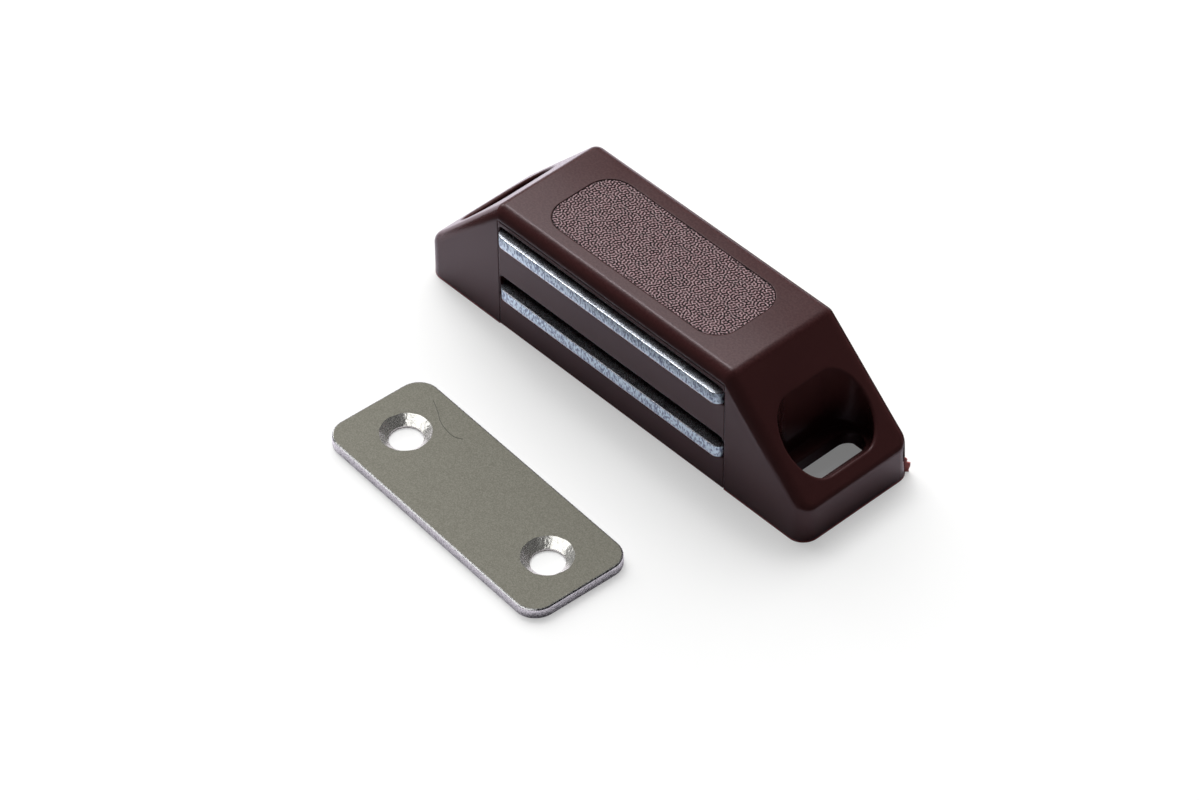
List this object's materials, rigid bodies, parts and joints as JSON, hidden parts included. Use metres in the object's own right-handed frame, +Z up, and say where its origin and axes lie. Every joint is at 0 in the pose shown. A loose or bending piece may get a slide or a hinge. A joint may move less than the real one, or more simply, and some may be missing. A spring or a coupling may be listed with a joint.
{
  "type": "magnetic catch",
  "caption": "Screw-on magnetic catch: sloped moulded housing with steel pole plates either side of a floating magnet, and a flat drilled counter plate.",
  "frame": {"origin": "centre of the housing's base plane, midway between its two screw slots", "axes": "+X along the housing, -Y out of the pole faces towards the counter plate, +Z up from the base to the grained top"},
  "size_m": [0.058, 0.0427, 0.0161],
  "materials": {
    "housing_plastic": "dark chocolate brown moulded ABS, glossy, with a fine grained panel on the top",
    "pole_steel": "bright zinc-plated steel strip with sheared edges",
    "ferrite": "matt charcoal sintered ferrite",
    "strike_steel": "satin nickel-plated steel, rolled upper edge, bright countersinks"
  },
  "bodies": {
    "catch_body": {"housing": "housing_plastic", "strike_plate": "strike_steel"},
    "magnet_pack": {"lower_pole_plate": "pole_steel", "upper_pole_plate": "pole_steel", "magnet": "ferrite"}
  },
  "joints": [
    {"name": "pack_float", "type": "slide", "parent": "catch_body", "child": "magnet_pack", "axis": [0, -1, 0], "range_m": [-0.00035, 0.00025]}
  ]
}
